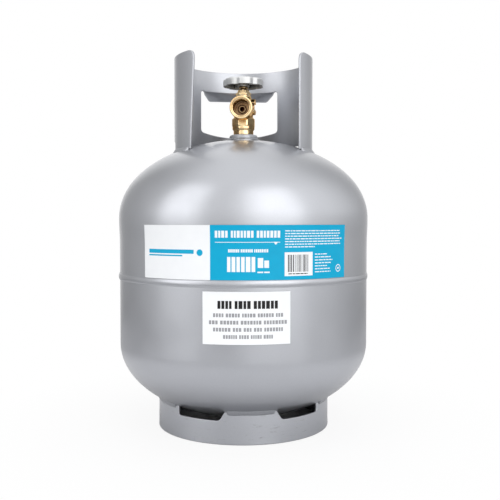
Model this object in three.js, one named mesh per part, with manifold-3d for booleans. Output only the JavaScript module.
// Refillable 9 kg LP gas cylinder: a two-shell steel vessel on a foot ring, with a guard collar
// and a brass valve. Millimetres, +Z up. The origin is the centre of the foot ring's bottom edge,
// and the collar opens towards -Y.

import * as THREE from "three";
import { mergeVertices } from "three/addons/utils/BufferGeometryUtils.js";
import Module from "manifold-3d";

const wasm = await Module();
wasm.setup();

const DEG = Math.PI / 180;

// Pressure vessel
const BODY_R = 158.5;
const WALL = 2.5;
const STRAIGHT_BOTTOM_Z = 107;
const STRAIGHT_TOP_Z = 268.8;
const UPPER_DOME_H = 96.5;
const LOWER_DOME_H = 94.4;
const SEAM_Z = 192.5;
const SEAM_PROUD = 1.1;
const SEAM_HALF_W = 4;
const LIP_TOP_Z = 204;
const LIP_GAP = 0.3;
const FIT_GAP = 0.3;

// Neck ring, welded into the upper dome
const NECK_R = 18.3;
const NECK_SPIGOT_R = 16.6;
const NECK_HOLE_R = 17;
const NECK_TOP_Z = 372.6;
const NECK_BOTTOM_Z = 353;

// Guard collar
const COLLAR_R = 88.8;
const COLLAR_SHEET = 3;
const COLLAR_MID_R = COLLAR_R - COLLAR_SHEET / 2;
const RIM_Z = 468.5;
const RIM_CORNER_R = 11;
const COLLAR_SKIRT_Z = 363;
const OPENING_LEFT_TOP = -46.9 * DEG;
const OPENING_LEFT_BOTTOM = -52 * DEG;
const OPENING_RIGHT = 46.4 * DEG;
const FRONT_FOOT_END = 81.7 * DEG;
const REAR_FOOT_HALF = 22.5 * DEG;
const FOOT_FILLET = 5;
const WINDOW_HALF = 37.65 * DEG;
const WINDOW_BOTTOM_Z = 385;
const WINDOW_SAG = 7;
const WINDOW_TOP_Z = 441;
const WINDOW_CORNER_R = 4.5;
const GRIP_BOTTOM_Z = 429.6;
const GRIP_BOTTOM_HALF = 27.6 * DEG;
const GRIP_SHOULDER_R = 3.4;
const GRIP_FOLD_Y = 92;

// Foot ring
const FOOT_R = 109.5;
const FOOT_SHEET = 3;
const FOOT_FLARE = 0.4;
const FOOT_FLARE_Z = 6;
const NOTCH_Z = 28;
const NOTCH_CORNER_R = 3.5;
const NOTCH_INNER_BOTTOM = 19.9 * DEG;
const NOTCH_INNER_TOP = 16.3 * DEG;
const NOTCH_OUTER = 50.5 * DEG;
const WELD_LEG = 3.4;

// Labels on the shell
const LABEL_THICKNESS = 0.3;
const LABEL_GAP = 0.2;
const MAIN_LABEL = { from: -50.2 * DEG, to: 42.5 * DEG, bottom: 197, top: 257.5 };
const LOWER_LABEL = { from: -21.2 * DEG, to: 14.3 * DEG, bottom: 126.3, top: 184.5 };

// Valve, turned about the cylinder's axis by where its taper thread tightens
const VALVE_TURN = -10 * DEG;
const VALVE_BOTTOM_Z = 352;
const SHANK_BOTTOM_R = 12.2;
const SHANK_TOP_R = 12.8;
const TAPE_THICKNESS = 0.2;
const BARREL_R = 12.4;
const BODY_TOP_Z = 423;
const WRENCH_FLATS = 28.6;
const WRENCH_BOTTOM_Z = 383;
const WRENCH_TOP_Z = 393.5;
const OUTLET_Z = 403.5;
const OUTLET_R = 14.25;
const OUTLET_REACH = 36;
const OUTLET_BORE_R = 10.75;
const OUTLET_BORE_END = 15.5;
const CONE_SEAT_R = 4.9;
const CONE_SEAT_REACH = 18;
const PORT_R = 3;
const INLET_R = 4.5;
const CHAMBER_R = 5.3;
const CHAMBER_FLOOR_Z = 398.2;
const SEAT_Z = 399.5;
const SEAT_R = 3.9;
const SEAT_HOLE_R = 2.6;

// Spindle, bonnet and handwheel
const BONNET_BOTTOM_Z = 417;
const BONNET_TOP_Z = 430.5;
const BONNET_SPIGOT_R = 7;
const SPINDLE_R = 4;
const SPINDLE_NECK_R = 3.2;
const RUNNING_GAP = 0.1;
const SEAL_SECTION_R = 0.7;
const SEAL_Z = 421.5;
const DRIVE_SQUARE = 6;
const WHEEL_BOTTOM_Z = 434.6;
const WHEEL_TOP_Z = 444;
const WHEEL_R = 26.2;
const WHEEL_WALL = 2.6;
const WHEEL_LOBES = 7;
const WHEEL_GROOVE = 2.2;
const WHEEL_FIRST_GROOVE = -15.5 * DEG;

// Safety relief valve, behind the valve body, and its distances from the valve's axis
const RELIEF_Z = 391;
const RELIEF_BOSS_R = 9.5;
const RELIEF_BOSS_END = 27;
const RELIEF_CAVITY_R = 7;
const RELIEF_SEAT = 13;
const RELIEF_STEM_R = 1.8;
const RELIEF_SHOULDER = 24;
const RELIEF_VENT_END = 31;

// Bleed screw and the ullage tube that it opens
const BLEED_Z = 408.5;
const BLEED_BOSS_R = 10.2;
const BLEED_BOSS_END = 15.8;
const BLEED_HEAD_END = 14.2;
const BLEED_GUARD_GAP = 8.4;
const ULLAGE_X = 7.4;
const ULLAGE_TUBE_END_Z = 288;

const VESSEL_SEGMENTS = 40;
const SHEET_SEGMENTS = 48;
const VALVE_SEGMENTS = 24;

// ---------------------------------------------------------------- materials

function paint(name, color, roughness, metalness) {
  return new THREE.MeshStandardMaterial({ name, color, roughness, metalness });
}

const greyPaint = () => paint("silver_grey_paint", 0xa9abb0, 0.28, 0.45);
const brass = () => paint("brass", 0xc8a257, 0.25, 0.95);
const castAluminium = () => paint("cast_aluminium", 0xc9cbca, 0.35, 0.8);
const steel = () => paint("zinc_plated_steel", 0xb8babd, 0.3, 0.9);
const rubber = () => paint("black_rubber", 0x1c1c1d, 0.7, 0);
const nylon = () => paint("white_nylon", 0xe7e4da, 0.45, 0);
const tapeWhite = () => paint("thread_tape", 0xefeff0, 0.6, 0);
const capPlastic = () => paint("cap_plastic", 0x8c2f25, 0.4, 0);
const vinylBlue = () => paint("blue_vinyl", 0x00a9d6, 0.35, 0);
const vinylWhite = () => paint("white_vinyl", 0xf1f1f2, 0.35, 0);

// ---------------------------------------------------------------- solids

function toSolid(geometry) {
  const bare = geometry.clone();
  bare.deleteAttribute("normal");
  bare.deleteAttribute("uv");
  const merged = mergeVertices(bare, 1e-4);
  return new wasm.Manifold(
    new wasm.Mesh({
      numProp: 3,
      vertProperties: merged.attributes.position.array,
      triVerts: new Uint32Array(merged.index.array),
    }),
  );
}

function toGeometry(solid) {
  const mesh = solid.getMesh();
  const geometry = new THREE.BufferGeometry();
  geometry.setAttribute("position", new THREE.BufferAttribute(mesh.vertProperties, 3));
  geometry.setIndex(new THREE.BufferAttribute(mesh.triVerts, 1));
  geometry.computeVertexNormals();
  return geometry;
}

// The union of the first list's geometries, with the second list's taken away.
function combine(added, removed = []) {
  let solid = toSolid(added[0]);
  for (const geometry of added.slice(1)) {
    solid = solid.add(toSolid(geometry));
  }
  for (const geometry of removed) {
    solid = solid.subtract(toSolid(geometry));
  }
  return toGeometry(solid);
}

// A turned shape about Z. The profile's [radius, z] points run up the outside and down the inside.
function revolve(profile, segments) {
  const points = profile.map(([radius, z]) => new THREE.Vector2(radius, z));
  if (points[0].x > 0) {
    points.push(points[0].clone());
  }
  return new THREE.LatheGeometry(points, segments).rotateX(90 * DEG);
}

function rod(radius, fromZ, toZ, segments = VALVE_SEGMENTS) {
  return revolve([[0, fromZ], [radius, fromZ], [radius, toZ], [0, toZ]], segments);
}

function sleeve(innerR, outerR, fromZ, toZ, segments = VALVE_SEGMENTS) {
  return revolve([[innerR, fromZ], [outerR, fromZ], [outerR, toZ], [innerR, toZ]], segments);
}

// A prism with the given width across its flats, one flat facing -Y.
function flatsPrism(sides, acrossFlats, fromZ, toZ) {
  const cornerR = acrossFlats / 2 / Math.cos(Math.PI / sides);
  return new THREE.CylinderGeometry(cornerR, cornerR, toZ - fromZ, sides, 1)
    .rotateX(90 * DEG)
    .rotateZ(Math.PI / sides)
    .translate(0, 0, (fromZ + toZ) / 2);
}

function block(sizeX, sizeY, fromZ, toZ) {
  return new THREE.BoxGeometry(sizeX, sizeY, toZ - fromZ).translate(0, 0, (fromZ + toZ) / 2);
}

function ring(centreR, sectionR, z) {
  return new THREE.TorusGeometry(centreR, sectionR, 6, VALVE_SEGMENTS).translate(0, 0, z);
}

// An outline through [x, y, cornerRadius] corners, each corner rounded by its radius.
function roundedOutline(corners) {
  const shape = new THREE.Shape();
  corners.forEach(([x, y, radius = 0], i) => {
    const corner = new THREE.Vector2(x, y);
    const before = corners.at(i - 1);
    const after = corners[(i + 1) % corners.length];
    const arrive = new THREE.Vector2(before[0] - x, before[1] - y).setLength(radius).add(corner);
    const leave = new THREE.Vector2(after[0] - x, after[1] - y).setLength(radius).add(corner);
    if (i === 0) {
      shape.moveTo(arrive.x, arrive.y);
    } else {
      shape.lineTo(arrive.x, arrive.y);
    }
    if (radius > 0) {
      shape.quadraticCurveTo(x, y, leave.x, leave.y);
    }
  });
  return shape;
}

// A cutter for a rolled sheet: the outline is drawn on the unrolled sheet as (arc length, height)
// and swept along the radius on both sides of the sheet.
function radialCutter(outline, sheetR, centreAngle) {
  const geometry = new THREE.ExtrudeGeometry(outline, {
    depth: 1,
    bevelEnabled: false,
    curveSegments: 4,
  });
  const position = geometry.attributes.position;
  for (let i = 0; i < position.count; i++) {
    const angle = centreAngle + position.getX(i) / sheetR;
    const radius = THREE.MathUtils.lerp(0.8 * sheetR, 2 * sheetR, position.getZ(i));
    position.setXYZ(i, radius * Math.sin(angle), -radius * Math.cos(angle), position.getY(i));
  }
  return geometry;
}

// A box bent to a new shape: place(u, v, w) gives [x, y, z] for each corner's 0 to 1 position.
function bentBox(columns, rows, place) {
  const geometry = new THREE.BoxGeometry(1, 1, 1, columns, rows, 1);
  const position = geometry.attributes.position;
  for (let i = 0; i < position.count; i++) {
    const u = position.getX(i) + 0.5;
    const v = position.getY(i) + 0.5;
    const w = position.getZ(i) + 0.5;
    position.setXYZ(i, ...place(u, v, w));
  }
  return geometry;
}

// A point on a circle about Z; angle 0 faces -Y and grows towards +X.
function around(radius, angle, z) {
  return [radius * Math.sin(angle), -radius * Math.cos(angle), z];
}

// ---------------------------------------------------------------- vessel

function upperDomeZ(radius) {
  return STRAIGHT_TOP_Z + UPPER_DOME_H * Math.sqrt(1 - (radius / BODY_R) ** 2);
}

function lowerDomeZ(radius) {
  return STRAIGHT_BOTTOM_Z - LOWER_DOME_H * Math.sqrt(1 - (radius / BODY_R) ** 2);
}

// Points of an elliptical dome wall from its straight edge to the given radius.
function domeArc(edgeR, height, edgeZ, endR, steps = 6) {
  const endAngle = Math.acos(endR / edgeR);
  return Array.from({ length: steps + 1 }, (_, i) => {
    const angle = (endAngle * i) / steps;
    return [edgeR * Math.cos(angle), edgeZ + height * Math.sin(angle)];
  });
}

function upperShell() {
  const innerR = BODY_R - WALL;
  const outside = domeArc(BODY_R, UPPER_DOME_H, STRAIGHT_TOP_Z, NECK_HOLE_R);
  const inside = domeArc(innerR, UPPER_DOME_H - WALL, STRAIGHT_TOP_Z, NECK_HOLE_R);
  const edgeZ = SEAM_Z + 2;
  return revolve(
    [[BODY_R, edgeZ], ...outside, ...inside.reverse(), [innerR, edgeZ]],
    VESSEL_SEGMENTS,
  );
}

function lowerShell() {
  const innerR = BODY_R - WALL;
  const lipR = innerR - LIP_GAP;
  const outside = domeArc(BODY_R, -LOWER_DOME_H, STRAIGHT_BOTTOM_Z, 0).reverse();
  const inside = domeArc(innerR, WALL - LOWER_DOME_H, STRAIGHT_BOTTOM_Z, 0);
  return revolve(
    [
      [0, outside[0][1]],
      ...outside.slice(1),
      [BODY_R, SEAM_Z - 2],
      [lipR, SEAM_Z + 1],
      [lipR, LIP_TOP_Z],
      [lipR - WALL, LIP_TOP_Z],
      [lipR - WALL, SEAM_Z],
      [innerR, SEAM_Z - 4],
      ...inside.slice(0, -1),
      [0, inside.at(-1)[1]],
    ],
    VESSEL_SEGMENTS,
  );
}

function girthWeld() {
  const footR = BODY_R + FIT_GAP / 2;
  const rootR = BODY_R - 1.9;
  return revolve(
    [
      [rootR, SEAM_Z + 0.7],
      [footR, SEAM_Z - 1.6],
      [footR, SEAM_Z - SEAM_HALF_W],
      [BODY_R + 0.8 * SEAM_PROUD, SEAM_Z - 2],
      [BODY_R + SEAM_PROUD, SEAM_Z],
      [BODY_R + 0.8 * SEAM_PROUD, SEAM_Z + 2],
      [footR, SEAM_Z + SEAM_HALF_W],
      [footR, SEAM_Z + 1.7],
      [rootR, SEAM_Z + 1.7],
    ],
    VESSEL_SEGMENTS,
  );
}

// The shank's radius at a height, along the valve's taper thread.
function shankR(z) {
  const t = (z - VALVE_BOTTOM_Z) / (NECK_TOP_Z - VALVE_BOTTOM_Z);
  return THREE.MathUtils.lerp(SHANK_BOTTOM_R, SHANK_TOP_R, t);
}

function neckRing() {
  const shoulderZ = upperDomeZ(NECK_SPIGOT_R) + FIT_GAP;
  const boreGap = TAPE_THICKNESS + 2 * RUNNING_GAP;
  return revolve(
    [
      [shankR(NECK_BOTTOM_Z) + boreGap, NECK_BOTTOM_Z],
      [NECK_SPIGOT_R, NECK_BOTTOM_Z],
      [NECK_SPIGOT_R, shoulderZ],
      [NECK_R, shoulderZ],
      [NECK_R, NECK_TOP_Z - 3.6],
      [NECK_R - 1.1, NECK_TOP_Z - 1.2],
      [NECK_R - 3.4, NECK_TOP_Z],
      [shankR(NECK_TOP_Z) + boreGap, NECK_TOP_Z],
    ],
    VALVE_SEGMENTS,
  );
}

function neckWeld() {
  const innerR = NECK_R + FIT_GAP;
  const outerR = innerR + 2.2;
  return revolve(
    [
      [innerR, upperDomeZ(innerR) + FIT_GAP],
      [outerR, upperDomeZ(outerR) + FIT_GAP],
      [outerR - 0.8, upperDomeZ(outerR) + 1.3],
      [innerR, upperDomeZ(innerR) + 2.6],
    ],
    VALVE_SEGMENTS,
  );
}

// ---------------------------------------------------------------- guard collar

function collarFrontOpening() {
  const leftTop = COLLAR_MID_R * OPENING_LEFT_TOP;
  const leftBottom = COLLAR_MID_R * OPENING_LEFT_BOTTOM;
  const right = COLLAR_MID_R * OPENING_RIGHT;
  const cornerZ = RIM_Z - RIM_CORNER_R;
  const belowZ = COLLAR_SKIRT_Z - 25;
  const shape = new THREE.Shape();
  shape.moveTo(leftBottom, belowZ);
  shape.lineTo(right, belowZ);
  shape.lineTo(right, cornerZ);
  shape.absarc(right + RIM_CORNER_R, cornerZ, RIM_CORNER_R, 180 * DEG, 90 * DEG, true);
  shape.lineTo(right + RIM_CORNER_R, RIM_Z + 5);
  shape.lineTo(leftTop - RIM_CORNER_R, RIM_Z + 5);
  shape.absarc(leftTop - RIM_CORNER_R, cornerZ, RIM_CORNER_R, 90 * DEG, 0, true);
  return radialCutter(shape, COLLAR_MID_R, 0);
}

// The gap under the collar's skirt between a front foot and the rear foot; side is 1 or -1.
function collarSkirtGap(side) {
  const middle = (FRONT_FOOT_END + 180 * DEG - REAR_FOOT_HALF) / 2;
  const half = COLLAR_MID_R * (middle - FRONT_FOOT_END);
  const belowZ = COLLAR_SKIRT_Z - 25;
  const shape = roundedOutline([
    [-half, belowZ],
    [half, belowZ],
    [half, COLLAR_SKIRT_Z, FOOT_FILLET],
    [-half, COLLAR_SKIRT_Z, FOOT_FILLET],
  ]);
  return radialCutter(shape, COLLAR_MID_R, side * middle);
}

// The window at the rear, whose lower edge sags to the middle.
function collarWindow() {
  const half = COLLAR_MID_R * WINDOW_HALF;
  const lowerEdge = [];
  for (let i = -5; i <= 5; i++) {
    lowerEdge.push([(half * i) / 6, WINDOW_BOTTOM_Z - WINDOW_SAG * (1 - (i / 6) ** 2)]);
  }
  const shape = roundedOutline([
    [-half, WINDOW_BOTTOM_Z, WINDOW_CORNER_R],
    ...lowerEdge,
    [half, WINDOW_BOTTOM_Z, WINDOW_CORNER_R],
    [half, WINDOW_TOP_Z, GRIP_SHOULDER_R],
    [-half, WINDOW_TOP_Z, GRIP_SHOULDER_R],
  ]);
  return radialCutter(shape, COLLAR_MID_R, 180 * DEG);
}

// Half the width of the grip flap, as arc length, at a height below the window's top edge.
function gripHalfWidth(z) {
  const shoulderZ = WINDOW_TOP_Z - GRIP_SHOULDER_R;
  const root = COLLAR_MID_R * WINDOW_HALF - GRIP_SHOULDER_R;
  if (z > shoulderZ) {
    return root - Math.sqrt(GRIP_SHOULDER_R ** 2 - (Math.min(z, WINDOW_TOP_Z) - shoulderZ) ** 2);
  }
  const t = (shoulderZ - z) / (shoulderZ - GRIP_BOTTOM_Z);
  return THREE.MathUtils.lerp(root - GRIP_SHOULDER_R, COLLAR_MID_R * GRIP_BOTTOM_HALF, t);
}

// The flap above the window, bent out so that its lower edge is straight and kind to a hand.
function gripFlap() {
  return bentBox(14, 7, (u, v, w) => {
    const z = THREE.MathUtils.lerp(GRIP_BOTTOM_Z, WINDOW_TOP_Z + 1, v);
    const angle = ((0.5 - u) * 2 * gripHalfWidth(z)) / COLLAR_MID_R;
    const radius = COLLAR_R - COLLAR_SHEET * (1 - w);
    const fold = Math.max(0, (WINDOW_TOP_Z - z) / (WINDOW_TOP_Z - GRIP_BOTTOM_Z)) ** 1.3;
    const sheetY = radius * Math.cos(angle);
    const flatY = GRIP_FOLD_Y + COLLAR_SHEET * w;
    return [radius * Math.sin(angle), THREE.MathUtils.lerp(sheetY, flatY, fold), z];
  });
}

function collar() {
  const innerR = COLLAR_R - COLLAR_SHEET;
  const sheet = revolve(
    [
      [innerR, upperDomeZ(innerR) + FIT_GAP],
      [COLLAR_R, upperDomeZ(COLLAR_R) + FIT_GAP],
      [COLLAR_R, RIM_Z],
      [innerR, RIM_Z],
    ],
    SHEET_SEGMENTS,
  );
  const openings = [collarFrontOpening(), collarSkirtGap(-1), collarSkirtGap(1), collarWindow()];
  return combine([combine([sheet], openings), gripFlap()]);
}

// A fillet of weld along a foot of the collar, on the dome.
function collarWeld(fromAngle, toAngle) {
  const innerR = COLLAR_R + FIT_GAP;
  const outerR = innerR + WELD_LEG;
  return bentBox(8, 1, (u, v, w) => {
    const angle = THREE.MathUtils.lerp(fromAngle, toAngle, u);
    const spread = v > 0.5 ? 0.45 : 1;
    const radius = THREE.MathUtils.lerp(innerR, outerR, w * spread);
    const rise = v > 0.5 ? WELD_LEG * (1 - 0.45 * w) : 0;
    return around(radius, angle, upperDomeZ(radius) + FIT_GAP + rise);
  });
}

// ---------------------------------------------------------------- foot ring

// A notch in the foot ring's top edge, from the front or rear tab to a side tab; side is 1 or -1.
function footNotch(centreAngle, side) {
  const aboveZ = lowerDomeZ(FOOT_R) + 10;
  const innerTop = THREE.MathUtils.mapLinear(
    aboveZ, NOTCH_Z, lowerDomeZ(FOOT_R), NOTCH_INNER_BOTTOM, NOTCH_INNER_TOP,
  );
  const corners = [
    [FOOT_R * NOTCH_INNER_BOTTOM, NOTCH_Z, NOTCH_CORNER_R],
    [FOOT_R * NOTCH_OUTER, NOTCH_Z, NOTCH_CORNER_R],
    [FOOT_R * NOTCH_OUTER, aboveZ],
    [FOOT_R * innerTop, aboveZ],
  ];
  const turned = corners.map(([x, z, radius]) => [side * x, z, radius]);
  return radialCutter(roundedOutline(side > 0 ? turned : turned.reverse()), FOOT_R, centreAngle);
}

function footRing() {
  const innerR = FOOT_R - FOOT_SHEET;
  const sheet = revolve(
    [
      [innerR, 0],
      [FOOT_R + FOOT_FLARE, 0],
      [FOOT_R, FOOT_FLARE_Z],
      [FOOT_R, lowerDomeZ(FOOT_R) - FIT_GAP],
      [innerR, lowerDomeZ(innerR) - FIT_GAP],
    ],
    SHEET_SEGMENTS,
  );
  const notches = [0, 180 * DEG].flatMap((centre) => [footNotch(centre, -1), footNotch(centre, 1)]);
  return combine([sheet], notches);
}

// A fillet of weld between a tab of the foot ring and the lower dome.
function footWeld(centreAngle, halfAngle) {
  const innerR = FOOT_R + FIT_GAP;
  const outerR = innerR + WELD_LEG;
  const columns = Math.ceil(halfAngle / (3 * DEG));
  return bentBox(columns, 1, (u, v, w) => {
    const angle = centreAngle + (2 * u - 1) * halfAngle;
    const spread = v > 0.5 ? 1 : 0.45;
    const radius = THREE.MathUtils.lerp(innerR, outerR, w * spread);
    const drop = v > 0.5 ? 0 : WELD_LEG * (1 - 0.45 * w);
    return around(radius, angle, lowerDomeZ(radius) - FIT_GAP - drop);
  });
}

// ---------------------------------------------------------------- labels

function label({ from, to, bottom, top }) {
  const columns = Math.ceil((to - from) / (4 * DEG));
  return bentBox(columns, 1, (u, v, w) => {
    const radius = BODY_R + LABEL_GAP + w * LABEL_THICKNESS;
    return around(radius, THREE.MathUtils.lerp(from, to, u), THREE.MathUtils.lerp(bottom, top, v));
  });
}

// ---------------------------------------------------------------- valve body

// Turns a shape made along +Z so that it points forwards, backwards or right from the valve's axis.
const facingFront = (geometry, z) => geometry.rotateX(90 * DEG).translate(0, 0, z);
const facingBack = (geometry, z) => geometry.rotateX(-90 * DEG).translate(0, 0, z);
const facingRight = (geometry, z) => geometry.rotateY(90 * DEG).translate(0, 0, z);

function valveBarrel() {
  return revolve(
    [
      [0, VALVE_BOTTOM_Z],
      [SHANK_BOTTOM_R, VALVE_BOTTOM_Z],
      [SHANK_TOP_R, NECK_TOP_Z],
      [SHANK_TOP_R, 378.3],
      [13.8, 379.2],
      [14.3, 380.7],
      [13.9, WRENCH_BOTTOM_Z],
      [13.4, WRENCH_TOP_Z],
      [BARREL_R, WRENCH_TOP_Z + 1.5],
      [BARREL_R, 416.5],
      [9.4, 421.5],
      [9.4, BODY_TOP_Z],
      [0, BODY_TOP_Z],
    ],
    VALVE_SEGMENTS,
  );
}

function outletBoss() {
  const boss = revolve(
    [
      [0, 0],
      [BARREL_R, 0],
      [BARREL_R, 13],
      [OUTLET_R, 16],
      [OUTLET_R, OUTLET_REACH - 0.8],
      [OUTLET_R - 0.8, OUTLET_REACH],
      [0, OUTLET_REACH],
    ],
    VALVE_SEGMENTS,
  );
  return facingFront(boss, OUTLET_Z);
}

// The outlet's bore, left around the raised ring that a hose fitting's nose seals on.
function outletBore() {
  const bore = revolve(
    [
      [0, CONE_SEAT_REACH],
      [CONE_SEAT_R, CONE_SEAT_REACH],
      [CONE_SEAT_R, OUTLET_BORE_END],
      [OUTLET_BORE_R, OUTLET_BORE_END],
      [OUTLET_BORE_R, OUTLET_REACH - 1.2],
      [OUTLET_BORE_R + 1.3, OUTLET_REACH + 0.1],
      [OUTLET_BORE_R + 1.3, OUTLET_REACH + 1],
      [0, OUTLET_REACH + 1],
    ],
    VALVE_SEGMENTS,
  );
  return facingFront(bore, OUTLET_Z);
}

// The chamber over the main seat, left around the raised seat, with the bonnet's thread above.
function valveChamber() {
  return revolve(
    [
      [0, SEAT_Z],
      [SEAT_R, SEAT_Z],
      [SEAT_R, CHAMBER_FLOOR_Z],
      [CHAMBER_R, CHAMBER_FLOOR_Z],
      [CHAMBER_R, BONNET_BOTTOM_Z - 0.5],
      [BONNET_SPIGOT_R + FIT_GAP, BONNET_BOTTOM_Z - 0.5],
      [BONNET_SPIGOT_R + FIT_GAP, BODY_TOP_Z + 1],
      [0, BODY_TOP_Z + 1],
    ],
    VALVE_SEGMENTS,
  );
}

function reliefCavity() {
  const cavity = revolve(
    [
      [0, RELIEF_SEAT],
      [4, RELIEF_SEAT],
      [4, RELIEF_SEAT - 1],
      [RELIEF_CAVITY_R, RELIEF_SEAT - 1],
      [RELIEF_CAVITY_R, RELIEF_BOSS_END + 1],
      [0, RELIEF_BOSS_END + 1],
    ],
    VALVE_SEGMENTS,
  );
  return facingBack(cavity, RELIEF_Z);
}

// The slot across the bleed boss: its two sides stay as guards above and below the screw's head.
function bleedGuardSlot() {
  const floor = BLEED_HEAD_END - 2.5;
  const depth = BLEED_BOSS_END + 1 - floor;
  return new THREE.BoxGeometry(depth, 21, BLEED_GUARD_GAP)
    .translate(floor + depth / 2, 0, BLEED_Z);
}

function valveBody() {
  const added = [
    valveBarrel(),
    flatsPrism(8, WRENCH_FLATS, WRENCH_BOTTOM_Z, WRENCH_TOP_Z),
    outletBoss(),
    facingBack(rod(RELIEF_BOSS_R, 0, RELIEF_BOSS_END), RELIEF_Z),
    facingRight(rod(BLEED_BOSS_R, 0, BLEED_BOSS_END), BLEED_Z),
  ];
  const removed = [
    rod(INLET_R, VALVE_BOTTOM_Z - 1, 396.5),
    rod(SEAT_HOLE_R, 396, SEAT_Z + 1),
    valveChamber(),
    outletBore(),
    facingFront(rod(PORT_R, 4, CONE_SEAT_REACH + 1), OUTLET_Z),
    facingBack(rod(2.5, 3, RELIEF_SEAT + 1), RELIEF_Z),
    reliefCavity(),
    bleedGuardSlot(),
    facingRight(rod(3.1, 8.6, BLEED_BOSS_END), BLEED_Z),
    facingRight(rod(0.8, ULLAGE_X, 9), BLEED_Z),
    rod(0.9, VALVE_BOTTOM_Z - 1, BLEED_Z, 16).translate(ULLAGE_X, 0, 0),
    rod(1.75, VALVE_BOTTOM_Z - 1, VALVE_BOTTOM_Z + 7, 16).translate(ULLAGE_X, 0, 0),
  ];
  return combine(added, removed);
}

function threadTape() {
  const [low, high] = [VALVE_BOTTOM_Z + 4, NECK_TOP_Z];
  const gap = RUNNING_GAP / 2;
  return revolve(
    [
      [shankR(low) + gap, low],
      [shankR(low) + gap + TAPE_THICKNESS, low],
      [shankR(high) + gap + TAPE_THICKNESS, high],
      [shankR(high) + gap, high],
    ],
    VALVE_SEGMENTS,
  );
}

// A tube from the valve down to the level that liquid reaches when the cylinder is full.
function ullageTube() {
  return sleeve(0.9, 1.6, ULLAGE_TUBE_END_Z, VALVE_BOTTOM_Z + 6.5, 16).translate(ULLAGE_X, 0, 0);
}

// ---------------------------------------------------------------- spindle and handwheel

function bonnet() {
  const added = [
    rod(BONNET_SPIGOT_R, BONNET_BOTTOM_Z, BODY_TOP_Z + 1),
    flatsPrism(6, 17, BODY_TOP_Z + FIT_GAP, 427),
    flatsPrism(6, 13, 426.5, BONNET_TOP_Z),
  ];
  return combine(added, [rod(SPINDLE_R + RUNNING_GAP, BONNET_BOTTOM_Z - 1, BONNET_TOP_Z + 1)]);
}

function bonnetGasket() {
  return sleeve(BONNET_SPIGOT_R + RUNNING_GAP, 9.2, BODY_TOP_Z + 0.02, BODY_TOP_Z + FIT_GAP - 0.02);
}

// Turns with the handwheel, held down by its flange, and drives the plug through a flat tang.
function spindle() {
  const flangeTopZ = BONNET_BOTTOM_Z - 1.2;
  const flangeBottomZ = flangeTopZ - 1.8;
  const grooveR = SPINDLE_R - 2 * SEAL_SECTION_R - RUNNING_GAP;
  const shaft = revolve(
    [
      [0, flangeBottomZ],
      [4.8, flangeBottomZ],
      [4.8, flangeTopZ],
      [SPINDLE_R, flangeTopZ],
      [SPINDLE_R, SEAL_Z - 1],
      [grooveR, SEAL_Z - 1],
      [grooveR, SEAL_Z + 1],
      [SPINDLE_R, SEAL_Z + 1],
      [SPINDLE_R, BONNET_TOP_Z + 0.6],
      [SPINDLE_NECK_R, BONNET_TOP_Z + 1],
      [SPINDLE_NECK_R, WHEEL_BOTTOM_Z - 2.2],
      [5.6, WHEEL_BOTTOM_Z - 1.8],
      [5.6, WHEEL_BOTTOM_Z - 0.1],
      [0, WHEEL_BOTTOM_Z - 0.1],
    ],
    VALVE_SEGMENTS,
  );
  const tang = block(6, 2, flangeBottomZ - 8.4, flangeBottomZ + 0.5);
  const square = block(DRIVE_SQUARE, DRIVE_SQUARE, WHEEL_BOTTOM_Z - 1, WHEEL_TOP_Z - 1.5);
  const screwHole = rod(2.05, WHEEL_BOTTOM_Z, WHEEL_TOP_Z);
  return combine([shaft, tang, square], [screwHole]);
}

const thrustWasher = () =>
  sleeve(SPINDLE_R + RUNNING_GAP, 4.9, BONNET_BOTTOM_Z - 1.1, BONNET_BOTTOM_Z - 0.1);

const spindleSeal = () => ring(SPINDLE_R - SEAL_SECTION_R - 0.05, SEAL_SECTION_R - 0.05, SEAL_Z);

// The lobed outline of the handwheel: smooth bulges parted by narrower grooves.
function lobedOutline(radius) {
  const steps = WHEEL_LOBES * 8;
  const points = Array.from({ length: steps }, (_, i) => {
    const angle = (i * 360 * DEG) / steps;
    const phase = WHEEL_LOBES * (angle - WHEEL_FIRST_GROOVE);
    const dip = WHEEL_GROOVE * ((1 + Math.cos(phase)) / 2) ** 4;
    return new THREE.Vector2((radius - dip) * Math.sin(angle), -(radius - dip) * Math.cos(angle));
  });
  return new THREE.Shape(points);
}

function lobedDisc(radius, fromZ, toZ) {
  const options = { depth: toZ - fromZ, bevelEnabled: false };
  return new THREE.ExtrudeGeometry(lobedOutline(radius), options).translate(0, 0, fromZ);
}

function handwheel() {
  const hubSquare = DRIVE_SQUARE + 2 * FIT_GAP;
  const roofZ = WHEEL_TOP_Z - 2.4;
  const shell = combine(
    [lobedDisc(WHEEL_R, WHEEL_BOTTOM_Z, WHEEL_TOP_Z)],
    [lobedDisc(WHEEL_R - WHEEL_WALL, WHEEL_BOTTOM_Z - 1, roofZ)],
  );
  const ribs = Array.from({ length: WHEEL_LOBES }, (_, i) => {
    const angle = WHEEL_FIRST_GROOVE + ((i + 0.5) * 360 * DEG) / WHEEL_LOBES;
    return new THREE.BoxGeometry(1.8, 18, 4)
      .translate(0, -15, roofZ - 1.5)
      .rotateZ(angle);
  });
  const hub = rod(7.4, WHEEL_BOTTOM_Z, WHEEL_TOP_Z - 1);
  return combine(
    [shell, hub, ...ribs],
    [block(hubSquare, hubSquare, WHEEL_BOTTOM_Z - 1, WHEEL_TOP_Z + 1)],
  );
}

const wheelWasher = () => sleeve(2.3, 6, WHEEL_TOP_Z + 0.1, WHEEL_TOP_Z + 1.1);

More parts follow.
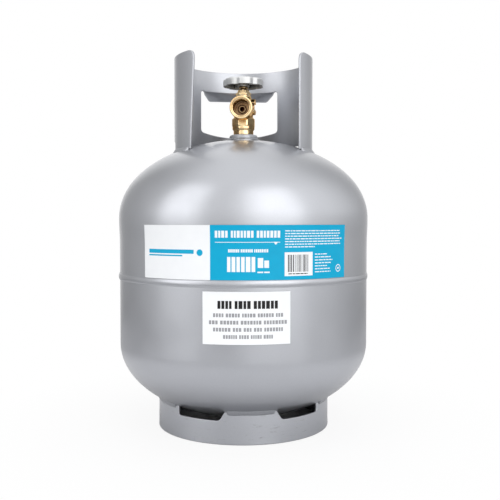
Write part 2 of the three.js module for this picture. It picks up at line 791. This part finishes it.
function wheelScrew() {
  const headZ = WHEEL_TOP_Z + 1.2;
  const screw = revolve(
    [
      [0, WHEEL_BOTTOM_Z + 1],
      [1.9, WHEEL_BOTTOM_Z + 1],
      [1.9, headZ],
      [4, headZ],
      [4, headZ + 1.6],
      [2.8, headZ + 2.6],
      [0, headZ + 2.8],
    ],
    VALVE_SEGMENTS,
  );
  const recess = [0, 90].map((turn) => block(4.4, 0.9, headZ + 1, headZ + 3).rotateZ(turn * DEG));
  return combine([screw], recess);
}

// ---------------------------------------------------------------- plug

// Slides up and down on the tang, and carries the disc that closes the main seat.
function seatHolder() {
  const topZ = 410.8;
  return combine(
    [rod(CHAMBER_R - FIT_GAP, SEAT_Z + 0.5, topZ)],
    [
      rod(4.4, SEAT_Z - 1, SEAT_Z + 1.6),
      block(7, 2.4, SEAT_Z + 3, topZ + 1),
    ],
  );
}

const seatDisc = () => rod(4.3, SEAT_Z + 0.05, SEAT_Z + 1.5);

// ---------------------------------------------------------------- relief valve, along +Z

function reliefHousing() {
  const added = [
    rod(RELIEF_CAVITY_R - 0.2, 20, RELIEF_BOSS_END + 1.4),
    flatsPrism(6, 16, RELIEF_BOSS_END + 0.1, RELIEF_VENT_END),
  ];
  const vents = [0, 120, 240].map((turn) =>
    rod(0.8, RELIEF_SHOULDER - 1, RELIEF_VENT_END + 1, 12)
      .translate(3.7, 0, 0)
      .rotateZ(turn * DEG),
  );
  const removed = [
    rod(5.2, 19, RELIEF_SHOULDER),
    rod(RELIEF_STEM_R + 0.3, RELIEF_SHOULDER - 1, RELIEF_VENT_END + 1),
    ...vents,
  ];
  return combine(added, removed);
}

function reliefPoppet() {
  return revolve(
    [
      [0, RELIEF_SEAT + 1.5],
      [4.7, RELIEF_SEAT + 1.5],
      [4.7, RELIEF_SEAT + 0.4],
      [5.6, RELIEF_SEAT + 0.4],
      [5.6, RELIEF_SEAT + 3.6],
      [RELIEF_STEM_R, RELIEF_SEAT + 4.2],
      [RELIEF_STEM_R, RELIEF_SHOULDER + 1.2],
      [0, RELIEF_SHOULDER + 1.2],
    ],
    VALVE_SEGMENTS,
  );
}

const reliefSeal = () => rod(4.6, RELIEF_SEAT + 0.05, RELIEF_SEAT + 1.45);

function reliefSpring() {
  const [coilR, wireR, turns] = [3.9, 0.45, 4];
  const [low, high] = [RELIEF_SEAT + 4.9, RELIEF_SHOULDER - 0.6];
  const steps = turns * 10;
  const points = Array.from({ length: steps + 1 }, (_, i) => {
    const angle = (i * turns * 360 * DEG) / steps;
    const z = THREE.MathUtils.lerp(low, high, i / steps);
    return new THREE.Vector3(coilR * Math.cos(angle), coilR * Math.sin(angle), z);
  });
  const section = new THREE.Shape().absarc(0, 0, wireR, 0, 360 * DEG);
  return new THREE.ExtrudeGeometry(section, {
    extrudePath: new THREE.CatmullRomCurve3(points),
    steps,
    curveSegments: 3,
    bevelEnabled: false,
  });
}

function reliefCap() {
  return revolve(
    [
      [0, RELIEF_VENT_END - 3.5],
      [1.9, RELIEF_VENT_END - 3.5],
      [1.9, RELIEF_VENT_END + 0.1],
      [7.2, RELIEF_VENT_END + 0.1],
      [7.2, RELIEF_VENT_END + 1.6],
      [6.2, RELIEF_VENT_END + 2.4],
      [0, RELIEF_VENT_END + 2.4],
    ],
    VALVE_SEGMENTS,
  );
}

// ---------------------------------------------------------------- bleed screw, along +Z

function bleedScrew() {
  const headZ = BLEED_HEAD_END - 2.2;
  const screw = revolve(
    [
      [0, 9.5],
      [2.9, 9.5],
      [2.9, headZ],
      [3.9, headZ],
      [3.9, BLEED_HEAD_END - 0.4],
      [3.5, BLEED_HEAD_END],
      [0, BLEED_HEAD_END],
    ],
    VALVE_SEGMENTS,
  );
  return combine([screw], [block(11, 1.3, BLEED_HEAD_END - 1.1, BLEED_HEAD_END + 1)]);
}

const bleedSeal = () => rod(1.9, 8.65, 9.45);

// ---------------------------------------------------------------- assembly

function add(group, name, geometry, material) {
  const mesh = new THREE.Mesh(geometry, material);
  mesh.name = name;
  group.add(mesh);
}

function buildVessel() {
  const group = new THREE.Group();
  add(group, "upper_shell", upperShell(), greyPaint());
  add(group, "lower_shell", lowerShell(), greyPaint());
  add(group, "girth_weld", girthWeld(), greyPaint());
  add(group, "neck_ring", neckRing(), greyPaint());
  add(group, "neck_weld", neckWeld(), greyPaint());
  add(group, "collar", collar(), greyPaint());
  add(group, "collar_weld_left", collarWeld(-80 * DEG, -53.5 * DEG), greyPaint());
  add(group, "collar_weld_right", collarWeld(48 * DEG, 80 * DEG), greyPaint());
  add(group, "collar_weld_rear", collarWeld(159 * DEG, 201 * DEG), greyPaint());
  add(group, "foot_ring", footRing(), greyPaint());
  add(group, "foot_weld_front", footWeld(0, 15 * DEG), greyPaint());
  add(group, "foot_weld_right", footWeld(90 * DEG, 37 * DEG), greyPaint());
  add(group, "foot_weld_rear", footWeld(180 * DEG, 15 * DEG), greyPaint());
  add(group, "foot_weld_left", footWeld(270 * DEG, 37 * DEG), greyPaint());
  add(group, "main_label", label(MAIN_LABEL), vinylBlue());
  add(group, "lower_label", label(LOWER_LABEL), vinylWhite());
  return group;
}

function buildRelief() {
  const group = new THREE.Group();
  group.rotation.x = -90 * DEG;
  group.position.z = RELIEF_Z;
  add(group, "relief_housing", reliefHousing(), brass());
  add(group, "relief_poppet", reliefPoppet(), brass());
  add(group, "relief_seal", reliefSeal(), rubber());
  add(group, "relief_spring", reliefSpring(), steel());
  add(group, "relief_dust_cap", reliefCap(), capPlastic());
  return group;
}

function buildBleed() {
  const group = new THREE.Group();
  group.rotation.y = 90 * DEG;
  group.position.z = BLEED_Z;
  add(group, "bleed_screw", bleedScrew(), brass());
  add(group, "bleed_seal", bleedSeal(), nylon());
  return group;
}

function buildValve() {
  const group = new THREE.Group();
  group.rotation.z = VALVE_TURN;
  add(group, "valve_body", valveBody(), brass());
  add(group, "thread_tape", threadTape(), tapeWhite());
  add(group, "ullage_tube", ullageTube(), brass());
  add(group, "bonnet", bonnet(), brass());
  add(group, "bonnet_gasket", bonnetGasket(), nylon());
  add(group, "thrust_washer", thrustWasher(), nylon());
  add(group, "spindle", spindle(), brass());
  add(group, "spindle_seal", spindleSeal(), rubber());
  add(group, "handwheel", handwheel(), castAluminium());
  add(group, "wheel_washer", wheelWasher(), steel());
  add(group, "wheel_screw", wheelScrew(), steel());
  add(group, "seat_holder", seatHolder(), brass());
  add(group, "seat_disc", seatDisc(), rubber());
  group.add(buildRelief(), buildBleed());
  return group;
}

const cylinder = new THREE.Group();
cylinder.add(buildVessel(), buildValve());

export default cylinder;
